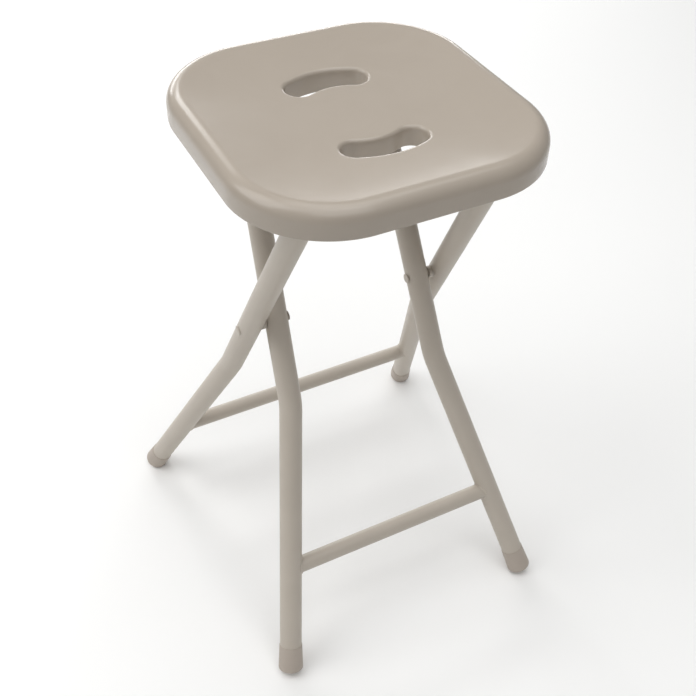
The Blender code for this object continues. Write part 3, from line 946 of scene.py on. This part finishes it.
@dataclass
class SeatFixings:
    """The hinge straps, the catches and their screws, under the seat.

    Attributes:
        hinge: (y, z) of the front bar, which the straps hold.
        rest: (y, z) of the rear bar, which lies in the catches.
        room: Bore radius of the straps and catches.
        wall: Their thickness.
        reach: Bar to screw, along Y.
        strap_x: Middle plane to a strap's middle.
        strap_width: A strap's width.
        catch_x: Middle plane to a catch's middle.
        catch_width: A catch's width.
        hold: The two ends of a catch's hold, about the bar, from straight back.
        boss: Radius of the screw bosses, which sets the flanges' length.
        corner: Radius of the flanges' lower corners.
        fine: Radius of the rounded edges on both sides of a strap or catch.
        head: A screw head's radius.
        head_rise: Its height.
        shank: The screw's radius.
        shank_length: Its length above the flange.
        recess: Half the width and half the length of the cross in a screw's head.
        recess_depth: The cross's depth.
        recess_slope: Width of its walls' slope, as a share of its own size.
        gap: Clearance between a flange and a screw's head.
    """

    hinge: tuple[float, float]
    rest: tuple[float, float]
    room: float
    wall: float = 2.6 * MM
    reach: float = 17.2 * MM
    strap_x: float = 36 * MM
    strap_width: float = 14 * MM
    catch_x: float = 20 * MM
    catch_width: float = 15 * MM
    hold: tuple[float, float] = (math.radians(-25), math.radians(140))
    boss: float = 4.5 * MM
    corner: float = 0.8 * MM
    fine: float = 0.35 * MM
    head: float = 3 * MM
    head_rise: float = 1.6 * MM
    shank: float = 1.5 * MM
    shank_length: float = 8.5 * MM
    recess: tuple[float, float] = (0.4 * MM, 1.7 * MM)
    recess_depth: float = 0.9 * MM
    recess_slope: float = 0.3
    gap: float = 0.3 * MM

    def screw_places(self) -> dict[str, tuple[float, float]]:
        """Each screw's name and (x, y)."""
        places = {}
        for hand in Hand:
            word, x = hand.word, hand.value
            places[f"hinge_screw_front_{word}"] = (x * self.strap_x, self.hinge[0] - self.reach)
            places[f"hinge_screw_back_{word}"] = (x * self.strap_x, self.hinge[0] + self.reach)
            places[f"catch_screw_{word}"] = (x * self.catch_x, self.rest[0] + self.reach)
        return places

    @property
    def outer(self) -> float:
        """Outer radius of the straps and catches."""
        return self.room + self.wall

    @property
    def flange_turn(self) -> float:
        """Angle about the bar at which a flange's underside meets the outer radius."""
        return math.asin(self.wall / self.outer)

    def flange(self) -> np.ndarray:
        """The lower corner and the end of the flange behind the bar, as (y, z) about the bar."""
        reach = self.reach + self.boss
        corner = arc(self.corner, 1.5 * np.pi, TAU, 4) + (reach - self.corner, self.corner - self.wall)
        return np.concatenate([corner, [(reach, 0.0)]])

    def hook_end(self, angle: float, start: float, count: int) -> np.ndarray:
        """The half circle that rounds off a catch at one end of its hold.

        Args:
            angle: The end's place about the bar.
            start: Where the half circle starts, about its own middle.
            count: Points in it, of which the first and last are left out.

        Returns:
            (y, z) points about the bar.
        """
        middle = (self.room + self.wall / 2) * rays(angle)
        return middle + arc(self.wall / 2, start, start + np.pi, count)[1:-1]

    def strap_section(self) -> np.ndarray:
        """A half ring under the bar with a flat flange on each side, as (y, z) about the bar."""
        flange = self.flange()
        return np.concatenate([
            arc(self.room, 0, -np.pi, 33),
            flange[::-1] * (-1, 1),
            arc(self.outer, np.pi + self.flange_turn, TAU - self.flange_turn, 27),
            flange,
        ])

    def catch_section(self) -> np.ndarray:
        """A hook over the bar, with round ends and one flange behind, as (y, z) about the bar."""
        back, front = self.hold
        return np.concatenate([
            arc(self.room, front, back, 33),
            self.hook_end(back, back + np.pi, 7),
            arc(self.outer, back, -self.flange_turn, 4),
            self.flange(),
            arc(self.outer, 0.0, front, 27),
            self.hook_end(front, front, 9),
        ])

    def clip(self, section: np.ndarray, bar: tuple[float, float], x: float, width: float) -> np.ndarray:
        """A section carried along X, its last bit at each end drawn in for a rounded edge.

        Each point moves along the section's normal by how far a small quarter circle has turned in.

        Args:
            section: (y, z) points about the bar.
            bar: (y, z) of the bar.
            x: Middle of the piece.
            width: Its width.

        Returns:
            Points by station and section point.
        """
        fine = self.fine
        ahead = np.roll(section, -1, 0) - section
        ahead = unit(unit(ahead) + unit(np.roll(ahead, 1, 0)))
        inward = np.stack([-ahead[:, 1], ahead[:, 0]], 1)
        following = np.roll(section, -1, 0)
        area = np.sum(section[:, 0] * following[:, 1] - section[:, 1] * following[:, 0])
        inward = inward * np.sign(area)
        quarter = arc(fine, np.pi, np.pi / 2, 4)
        stations = [(x - width / 2 + fine + a, fine - b) for a, b in quarter]
        stations += [(x + width / 2 - fine - a, fine - b) for a, b in quarter[::-1]]
        rows = []
        for station, inset in stations:
            flat = section + inward * inset + bar
            rows.append(np.concatenate([np.full((len(flat), 1), station), flat], 1))
        return np.stack(rows)

    def screw_grid(self, x: float, y: float) -> np.ndarray:
        """A pan-head screw: a dome with a cross cut into it, then a plain shank.

        The recess is as deep as a smooth step of the distance to the nearer of two crossed bars.

        Args:
            x: The screw's X.
            y: The screw's Y.

        Returns:
            Points by ring and place round it, from the head's middle to the shank's end.
        """
        seat = self.hinge[1] - self.wall - self.gap
        radii = np.linspace(0.02, 1, 18) * self.head
        local = radii[:, None, None] * rays(around(64))
        drop = self.head_rise * np.sqrt(np.maximum(1 - (radii / self.head) ** 4, 0))
        across, along = np.abs(local[..., 0]), np.abs(local[..., 1])
        thin, long = self.recess
        bar = np.minimum(np.maximum(across / thin, along / long), np.maximum(across / long, along / thin))
        cut = np.clip((1 - bar) / self.recess_slope + 0.5, 0, 1)
        depth = self.recess_depth * cut * cut * (3 - 2 * cut)
        z = seat - drop[:, None] + depth
        head = np.concatenate([local + (x, y), z[..., None]], -1)
        rim = np.array([[self.shank, 0.0], [self.shank, self.shank_length]])
        shank = turned(rim, np.array([x, y, seat]), UP, 64)
        turn = np.argmin(np.linalg.norm(shank[0] - head[-1, 0], axis=1))
        return np.concatenate([head, np.roll(shank, -turn, 1)])

    def build(self, plastic: bpy.types.Material, plate: bpy.types.Material) -> None:
        """Builds the straps, catches and screws, and places them on the seat."""
        kinds = (
            ("hinge_strap", self.strap_section(), self.hinge, self.strap_x, self.strap_width),
            ("catch", self.catch_section(), self.rest, self.catch_x, self.catch_width),
        )
        for hand in Hand:
            for kind, section, bar, x, width in kinds:
                surface = Surface().add(self.clip(section, bar, hand.value * x, width), loop_columns=True)
                piece = surface.build(f"{kind}_{hand.word}_fine", plastic)
                close_ends(piece)
                place(piece, "seat", Slot.SEAT, f"{kind}_{hand.word}")
        for name, (x, y) in self.screw_places().items():
            screw = Surface().add_tube(self.screw_grid(x, y)).build(f"{name}_fine", plate)
            place(screw, "seat", Slot.PLATE, name)


def close_ends(piece: bpy.types.Object) -> None:
    """Closes a piece's open ends with one flat face each, turned outwards.

    Args:
        piece: A mesh whose open edges form flat rings.
    """
    mesh = bmesh.new()
    mesh.from_mesh(piece.data)
    bmesh.ops.holes_fill(mesh, edges=[edge for edge in mesh.edges if edge.is_boundary])
    bmesh.ops.recalc_face_normals(mesh, faces=mesh.faces)
    mesh.to_mesh(piece.data)
    mesh.free()
    piece.data.set_sharp_from_angle(angle=math.radians(SHARP))


# ---------------------------------------------------------------- frames
@dataclass
class TubeFrame:
    """One U frame: a bent tube, its crossbar with weld beads, and its foot caps.

    The frame lies in a plane that leans about the pivots' line. A place in that plane is (x, reach),
    where reach is the distance up the lean from the pivots.

    Attributes:
        name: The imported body's name.
        bar_end: The end of the seat under which its top bar lies.
        top_x: Middle plane to the leg's axis, at the top bar.
        bend_x: The same where the legs start to spread.
        spread: The spread of the lower legs, in the frame's plane.
        crossbar_z: Height of the crossbar.
        pivot_z: Height of the pivots.
        top_rise: Pivots to the top bar, upright.
        bend_drop: Pivots to the bends, upright.
        lean: The frame's lean from upright.
        tube: The tube's radius.
        wall: Its wall.
        top_radius: Bend radius at the top bar.
        leg_radius: Bend radius in the legs.
        crossbar: The crossbar's radius.
        bead: Radius of the weld bead.
        bead_sink: How far the bead's middle lies under the two tubes' surfaces.
        bead_ripple: Rise of its puddles, as a share of its radius.
        bead_sag: How much thicker it is on top, as a share of its radius.
        puddles: Puddles of weld in it.
        cap_wall: A foot cap's wall.
        cap_lip: The wall's thickness at the lip.
        cap_grip: How far the lip squeezes into the tube's surface.
        cap_length: How far a cap reaches up the tube.
        cap_floor: Thickness of its floor.
        cap_edge: Radius of its lower edge.
        cap_flat: Depth of the flat worn into that edge.
        gap: Clearance between a cap and its tube.
    """

    name: str
    bar_end: End
    top_x: float
    bend_x: float
    spread: float
    crossbar_z: float
    pivot_z: float
    top_rise: float = 157.5 * MM
    bend_drop: float = 65.5 * MM
    lean: float = math.radians(27)
    tube: float = 9.5 * MM
    wall: float = 1.2 * MM
    top_radius: float = 26 * MM
    leg_radius: float = 80 * MM
    crossbar: float = 7.1 * MM
    bead: float = 1.5 * MM
    bead_sink: float = 0.5 * MM
    bead_ripple: float = 0.05
    bead_sag: float = 0.04
    puddles: int = 11
    cap_wall: float = 0.9 * MM
    cap_lip: float = 0.5 * MM
    cap_grip: float = 0.05 * MM
    cap_length: float = 20.5 * MM
    cap_floor: float = 3 * MM
    cap_edge: float = 3 * MM
    cap_flat: float = 0.7 * MM
    gap: float = 0.3 * MM

    @property
    def top_reach(self) -> float:
        """Reach of the top bar."""
        return self.top_rise / math.cos(self.lean)

    @property
    def bend_reach(self) -> float:
        """Reach of the bends, below the pivots."""
        return -self.bend_drop / math.cos(self.lean)

    @property
    def crossbar_reach(self) -> float:
        """Reach of the crossbar, below the pivots."""
        return (self.crossbar_z - self.pivot_z) / math.cos(self.lean)

    @property
    def cap(self) -> float:
        """A foot cap's radius."""
        return self.tube + self.gap + self.cap_wall

    @property
    def foot_reach(self) -> float:
        """Reach of the tube's end, so that the cap's flat lies on the floor."""
        upright = math.cos(self.lean) * math.cos(self.spread)
        tilted = math.sqrt(1 - upright**2)
        under = (self.cap - self.cap_edge) * tilted + self.cap_edge * (1 - upright) - self.cap_flat
        end = under + (self.cap_floor + self.gap) * upright
        return (end - self.pivot_z) / math.cos(self.lean)

    @property
    def slope(self) -> float:
        """How much a leg nears the middle plane per unit of reach, above its bend."""
        return (self.bend_x - self.top_x) / (self.top_reach - self.bend_reach)

    def leg_x(self, reach: float) -> float:
        """Distance of a leg's axis from the middle plane at a reach."""
        slope = self.slope if reach > self.bend_reach else math.tan(self.spread)
        return self.bend_x + slope * (self.bend_reach - reach)

    def leg(self, hand: Hand, low: float, high: float) -> tuple[np.ndarray, np.ndarray]:
        """A straight part of a leg, between two reaches.

        Args:
            hand: Which leg.
            low: Reach of its lower end.
            high: Reach of its upper end.

        Returns:
            The lower end, and the unit vector up the part.
        """
        foot, head = self.stand([(hand.value * self.leg_x(reach), reach) for reach in (low, high)])
        return foot, unit(head - foot)

    def stand(self, flat: np.ndarray) -> np.ndarray:
        """Stands (x, reach) points in the frame's leaning plane."""
        flat = np.asarray(flat, float)
        side = self.bar_end.value
        y = side * flat[..., 1] * math.sin(self.lean)
        z = self.pivot_z + flat[..., 1] * math.cos(self.lean)
        return np.stack([flat[..., 0], y, z], -1)

    def outline(self, step: float = 2 * MM) -> np.ndarray:
        """The tube's axis from foot to foot, as (x, reach), at even steps.

        Straight runs meet in arcs: each arc's middle lies on the corner's bisector, its radius over
        the sine of half the corner away from it.

        Args:
            step: Distance between points.

        Returns:
            Points, n by 2.
        """
        half = [(self.leg_x(reach), reach) for reach in (self.foot_reach, self.bend_reach, self.top_reach)]
        corners = np.array([(-x, reach) for x, reach in half] + half[::-1])
        radii = (self.leg_radius, self.top_radius, self.top_radius, self.leg_radius)
        line = [corners[:1]]
        for i, radius in enumerate(radii, start=1):
            before, after = unit(corners[i - 1] - corners[i]), unit(corners[i + 1] - corners[i])
            half_turn = math.acos(float(before @ after)) / 2
            centre = corners[i] + unit(before + after) * radius / math.sin(half_turn)
            start = corners[i] + before * radius / math.tan(half_turn) - centre
            end = corners[i] + after * radius / math.tan(half_turn) - centre
            sweep = math.pi - 2 * half_turn
            t = np.linspace(0, 1, 60)[:, None]
            turn = np.sin((1 - t) * sweep) * start + np.sin(t * sweep) * end
            line.append(centre + turn / math.sin(sweep))
        line = np.concatenate(line + [corners[-1:]])
        length = np.concatenate([[0], np.cumsum(np.linalg.norm(np.diff(line, axis=0), axis=1))])
        even = np.linspace(0, length[-1], int(length[-1] / step))
        return np.stack([np.interp(even, length, line[:, i]) for i in (0, 1)], 1)

    def sweep(self, outline: np.ndarray, radius: float, sides: int = 56) -> np.ndarray:
        """Carries a circle along a flat outline in the frame's plane.

        At each point the circle lies across the tangent, spanned by the plane's normal and by the
        normal cross the tangent.

        Args:
            outline: (x, reach) points.
            radius: The circle's radius.
            sides: Points round it.

        Returns:
            Points by station and place round it.
        """
        path = self.stand(outline)
        normal = np.array([0.0, math.cos(self.lean), -self.bar_end.value * math.sin(self.lean)])
        tangent = unit(np.gradient(path, axis=0))
        across = np.cross(normal, tangent)
        angles = around(sides)
        ring = np.cos(angles)[:, None] * across[:, None] + np.sin(angles)[:, None] * normal
        return path[:, None] + radius * ring

    def tube_piece(self, finish: bpy.types.Material) -> bpy.types.Object:
        """Builds the hollow bent tube, its inside with a sixth of the outside's rings."""
        outline = self.outline()
        outside = self.sweep(outline, self.tube)
        inside = self.sweep(outline, self.tube - self.wall)[::-6]
        inside = np.concatenate([inside, self.sweep(outline[:2], self.tube - self.wall)[:1]])
        surface = Surface().add(np.concatenate([outside, inside]), loop_rows=True, loop_columns=True)
        return surface.build(f"{self.name}_tube_fine", finish)

    def saddle(self, hand: Hand, radius: float, angles: np.ndarray, stand_off: float = 0.0) -> np.ndarray:
        """Where lines along X, round the crossbar, meet the inner side of a leg.

        Args:
            hand: Which leg.
            radius: Distance of the lines from the crossbar's axis.
            angles: Their places round it.
            stand_off: Added to the tube's radius.

        Returns:
            Points, n by 3.
        """
        foot, up_leg = self.leg(hand, self.foot_reach, self.crossbar_reach)
        bar = self.stand((0.0, self.crossbar_reach))
        ring = np.concatenate([np.zeros((len(angles), 1)), bar[1:] + radius * rays(angles)], 1)
        return onto_tube(ring, foot, up_leg, self.tube + stand_off, hand)

    def crossbar_piece(self, finish: bpy.types.Material) -> bpy.types.Object:
        """Builds the crossbar, its two ends coped to the legs."""
        left, right = (self.saddle(hand, self.crossbar, around(56)) for hand in Hand)
        shares = np.linspace(0, 1, 40)[:, None, None]
        surface = Surface().add_tube(left + (right - left) * shares)
        return surface.build(f"{self.name}_crossbar_fine", finish)

    def bead_piece(self, hand: Hand, finish: bpy.types.Material) -> bpy.types.Object:
        """Builds the weld bead: a lumpy ring, half sunk in the line where the crossbar meets a leg.

        The ring's own radius grows and shrinks once for each puddle of weld, by uneven amounts.

        Args:
            hand: Which leg.
            finish: Its finish.

        Returns:
            The piece.
        """
        angles = around(144)
        middle = self.saddle(hand, self.crossbar - self.bead_sink, angles, -self.bead_sink)
        outward = np.stack([np.zeros_like(angles), np.cos(angles), np.sin(angles)], -1)
        uneven = 1 + 0.5 * np.sin(2 * angles + hand.value) + 0.3 * np.sin(5 * angles)
        ripple = self.bead_ripple * uneven * np.cos(self.puddles * angles + hand.value)
        puddle = self.bead * (1 + ripple + self.bead_sag * np.sin(angles))
        turn = around(14)[:, None]
        ring = np.cos(turn) * outward[:, None] + np.sin(turn) * ACROSS
        bead = middle[:, None] + puddle[:, None, None] * ring
        surface = Surface().add(bead, loop_rows=True, loop_columns=True)
        return surface.build(f"{self.name}_weld_{hand.word}", finish, sharp=80)

    def cap_piece(self, hand: Hand, finish: bpy.types.Material, name: str) -> bpy.types.Object:
        """Builds a foot cap: a cup over the tube's end, flat where it meets the floor.

        Args:
            hand: Which leg.
            finish: Its finish.
            name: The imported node's name.

        Returns:
            The piece.
        """
        foot, up_leg = self.leg(hand, self.foot_reach, self.bend_reach)
        bottom = -(self.cap_floor + self.gap)
        bore = self.tube - self.cap_grip
        lip = self.cap_lip / 2
        edge = arc(self.cap_edge, -np.pi / 2, 0, 14) + (self.cap - self.cap_edge, bottom + self.cap_edge)
        top = arc(lip, 0, np.pi, 9) + (bore + lip, self.cap_length - lip)
        skirt = np.linspace(edge[-1], top[0], 14)[1:-1]
        face = np.stack([np.linspace(0.15, 1, 14) * edge[0, 0], np.full(14, bottom)], 1)[:-1]
        profile = np.concatenate([face, edge, skirt, top, [(bore, -self.gap)]])
        grid = turned(profile, foot, up_leg, 72)
        grid[..., 2] = np.maximum(grid[..., 2], 0.0)
        return Surface().add_tube(grid).build(f"{name}_fine", finish, sharp=30)

    def build(self, enamel: bpy.types.Material, vinyl: bpy.types.Material) -> None:
        """Builds and places the whole frame.

        Args:
            enamel: Finish of the steel.
            vinyl: Finish of the foot caps.
        """
        short = self.name.split("_")[0]
        place(self.tube_piece(enamel), self.name, Slot.ENAMEL, f"{short}_frame_tube")
        place(self.crossbar_piece(enamel), self.name, Slot.ENAMEL, f"{short}_crossbar")
        feet = End.FRONT if self.bar_end is End.BACK else End.BACK
        for hand in Hand:
            place(self.bead_piece(hand, enamel), self.name, Slot.ENAMEL)
            cap = f"foot_cap_{feet.word}_{hand.word}"
            place(self.cap_piece(hand, vinyl, cap), self.name, Slot.FOOT, cap)


@dataclass
class Pivots:
    """The two rivets on which the frames cross, each with a bush between the tubes.

    Attributes:
        outer: The outer frame.
        inner: The inner frame.
        rivet: The shank's radius.
        head: The heads' radius.
        head_rise: Rise of the outer head's crown over the tube.
        tail_rise: Thickness of the formed head inside.
        head_edge: Height of a head's straight edge.
        bush: The bush's radius.
        fine: Radius of the bush's rounded edge.
        gap: Clearance between the bush and the inner tube.
    """

    outer: TubeFrame
    inner: TubeFrame
    rivet: float = 3 * MM
    head: float = 4 * MM
    head_rise: float = 1.2 * MM
    tail_rise: float = 0.8 * MM
    head_edge: float = 0.3 * MM
    bush: float = 5 * MM
    fine: float = 0.2 * MM
    gap: float = 0.3 * MM

    def build(self, enamel: bpy.types.Material, nylon: bpy.types.Material) -> None:
        """Builds and places both pivots.

        Args:
            enamel: Finish of the rivets, which are coated with the frames.
            nylon: Finish of the bushes.
        """
        outer_x, inner_x = self.outer.leg_x(0.0), self.inner.leg_x(0.0)
        dome = arc(1.0, 0, np.pi / 2, 14)[:-1]
        crown = dome * (self.head, self.head_rise - self.head_edge)
        crown = crown + (0.0, outer_x + self.outer.tube + self.head_edge)
        head = np.concatenate([[(self.head, outer_x)], crown])
        tail_face = inner_x - self.inner.tube - self.inner.slope * self.head - self.gap
        crown = dome * (self.head, self.head_edge - self.tail_rise) + (0.0, tail_face - self.head_edge)
        tail = np.concatenate([crown[::-1], [(self.head, tail_face)]])
        bush_low = inner_x + self.inner.tube + self.inner.slope * self.bush + self.gap
        origin = np.array([0.0, 0.0, self.outer.pivot_z])
        shank = [(self.rivet, tail_face), (self.rivet, outer_x)]
        ring = [(self.rivet, bush_low), (self.bush - self.fine, bush_low),
                (self.bush, bush_low + self.fine), (self.bush, outer_x), (self.rivet, outer_x)]
        for hand in Hand:
            out = hand.value * ACROSS
            surface = Surface().add_tube(turned(np.concatenate([tail, shank, head]), origin, out))
            rivet = surface.build(f"pivot_rivet_{hand.word}_fine", enamel)
            place(rivet, "outer_frame", Slot.ENAMEL, f"pivot_rivet_{hand.word}")
            grid = turned(np.array(ring), origin, out, 96)
            pivot, up_leg = self.outer.leg(hand, 0.0, self.outer.top_reach)
            grid[3:] = onto_tube(grid[3:], pivot, up_leg, self.outer.tube, hand)
            surface = Surface().add(grid, loop_rows=True, loop_columns=True)
            bush = surface.build(f"pivot_bush_{hand.word}_fine", nylon)
            place(bush, "outer_frame", Slot.NYLON, f"pivot_bush_{hand.word}")


# ---------------------------------------------------------------- studio
@dataclass(frozen=True)
class Lamp:
    """A rectangular soft light.

    Attributes:
        name: Its name.
        place: Where it stands.
        size: Its width and height.
        watts: Its power.
    """

    name: str
    place: tuple[float, float, float]
    size: tuple[float, float]
    watts: float


@dataclass
class Studio:
    """A pale floor, soft lights and the camera.

    Attributes:
        target: The point that the camera looks at.
        azimuth: The camera's place round the stool, from straight in front, in degrees.
        elevation: Its height above the horizon, in degrees.
        distance: Camera to target.
        roll: How far the camera is turned about its own axis, in degrees.
        lens: Focal length, in millimetres on a 36 mm sensor.
        aim: The point that the lights face.
        floor: The floor's colour.
        floor_reach: Half the floor's width.
        sky: Strength of the even light from all round.
        lamps: The lights. The low, wide one behind picks out the slots' near edges.
    """

    target: tuple[float, float, float] = (0.0172, 0.0291, 0.1901)
    azimuth: float = -28.50
    elevation: float = 42.90
    distance: float = 0.8961
    roll: float = 1.99
    lens: float = 50.93
    aim: tuple[float, float, float] = (0.0, 0.0, 0.25)
    floor: str = "#f8f8f7"
    floor_reach: float = 6.0
    sky: float = 0.22
    lamps: tuple[Lamp, ...] = (
        Lamp("key", (-1.5, 0.5, 2.0), (1.8, 1.8), 27),
        Lamp("top", (0.35, 0.35, 2.5), (1.6, 1.6), 15),
        Lamp("front", (-0.1, -1.0, 2.4), (2.0, 2.0), 21),
        Lamp("back", (-0.1, 1.75, 1.45), (0.7, 0.3), 5),
        Lamp("horizon", (0.6, 2.2, 0.72), (2.4, 0.45), 19),
    )

    def camera(self) -> None:
        """Makes the camera and gives it to the scene."""
        a, e, r = (math.radians(v) for v in (self.azimuth, self.elevation, self.roll))
        back = np.array([math.sin(a) * math.cos(e), -math.cos(a) * math.cos(e), math.sin(e)])
        right = unit(np.cross(UP, back))
        up = np.cross(back, right)
        right, up = math.cos(r) * right + math.sin(r) * up, math.cos(r) * up - math.sin(r) * right
        data = bpy.data.cameras.new("camera")
        data.lens = self.lens
        data.clip_start = 0.01
        camera = bpy.data.objects.new("camera", data)
        turn = Matrix(np.stack([right, up, back], 1).tolist()).to_4x4()
        camera.matrix_world = Matrix.Translation(np.array(self.target) + self.distance * back) @ turn
        bpy.context.scene.collection.objects.link(camera)
        bpy.context.scene.camera = camera

    def light(self, lamp: Lamp) -> None:
        """Adds a rectangular soft light that faces the stool.

        Args:
            lamp: Its name, place, size and power.
        """
        data = bpy.data.lights.new(lamp.name, "AREA")
        data.shape = "RECTANGLE"
        data.size, data.size_y = lamp.size
        data.energy = lamp.watts
        light = bpy.data.objects.new(lamp.name, data)
        light.location = lamp.place
        towards = Vector(self.aim) - Vector(lamp.place)
        light.rotation_euler = towards.to_track_quat("-Z", "Y").to_euler()
        bpy.context.scene.collection.objects.link(light)

    def stage(self) -> None:
        """Makes the floor and the even sky."""
        far = self.floor_reach
        corners = [(-far, -far, 0), (far, -far, 0), (far, far, 0), (-far, far, 0)]
        mesh = bpy.data.meshes.new("floor")
        mesh.from_pydata(corners, [], [(0, 1, 2, 3)])
        floor = bpy.data.objects.new("floor", mesh)
        bpy.context.scene.collection.objects.link(floor)
        matt = Shading("studio_floor")
        inputs = {"Base Color": linear(self.floor), "Roughness": 0.9, "Specular IOR Level": 0.1}
        matt.fill(matt.shader, inputs)
        mesh.materials.append(matt.material)
        world = bpy.data.worlds.new("studio")
        world.use_nodes = True
        sky = world.node_tree.nodes["Background"]
        sky.inputs["Color"].default_value = linear("#ffffff")
        sky.inputs["Strength"].default_value = self.sky
        bpy.context.scene.world = world

    def build(self) -> None:
        """Makes the stage, the lights and the camera."""
        self.stage()
        for lamp in self.lamps:
            self.light(lamp)
        self.camera()
        bpy.context.scene.view_settings.view_transform = "Standard"


def main() -> None:
    """Builds every sub-assembly in order, then the studio."""
    logging.basicConfig(level=logging.INFO, format="%(message)s")
    seat_low, seat_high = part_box("seat_shell")
    joints = {joint["name"]: joint for joint in frame["joints"]}
    pivot_z = joints["fold"]["pos_m"][2]
    _, bar_y, bar_z = joints["seat_hinge"]["pos_m"]
    plastic = MouldedPolypropylene().material()
    enamel = PowderCoat().material()
    vinyl = SoftVinyl().material()
    nylon = TurnedNylon().material()
    plate = ZincPlate().material()

    outer = TubeFrame(
        "outer_frame", End.FRONT, top_x=75.5 * MM, bend_x=93.4 * MM,
        spread=math.radians(12.83), crossbar_z=87.6 * MM, pivot_z=pivot_z,
    )
    inner = TubeFrame(
        "inner_frame", End.BACK, top_x=56.6 * MM, bend_x=68.4 * MM,
        spread=math.radians(12.54), crossbar_z=86.6 * MM, pivot_z=pivot_z,
    )
    outer.build(enamel, vinyl)
    inner.build(enamel, vinyl)
    Pivots(outer, inner).build(enamel, nylon)

    room = outer.tube + outer.gap
    fixings = SeatFixings(hinge=(bar_y, bar_z), rest=(-bar_y, bar_z), room=room)
    shell = SeatShell(
        width=seat_high.x - seat_low.x,
        depth=seat_high.y - seat_low.y,
        crest=seat_high.z,
        collar_low=seat_low.z,
    )
    place(shell.build(plastic), "seat", Slot.SEAT, "seat_shell")
    ribs = SeatRibs(
        shell,
        bars=[(bar_y, bar_z, room), (-bar_y, bar_z, room)],
        screws=list(fixings.screw_places().values()),
        boss_low=bar_z + outer.gap,
    )
    place(ribs.build(plastic), "seat", Slot.SEAT)
    fixings.build(plastic, plate)
    Studio().build()


if __name__ == "__main__":
    main()
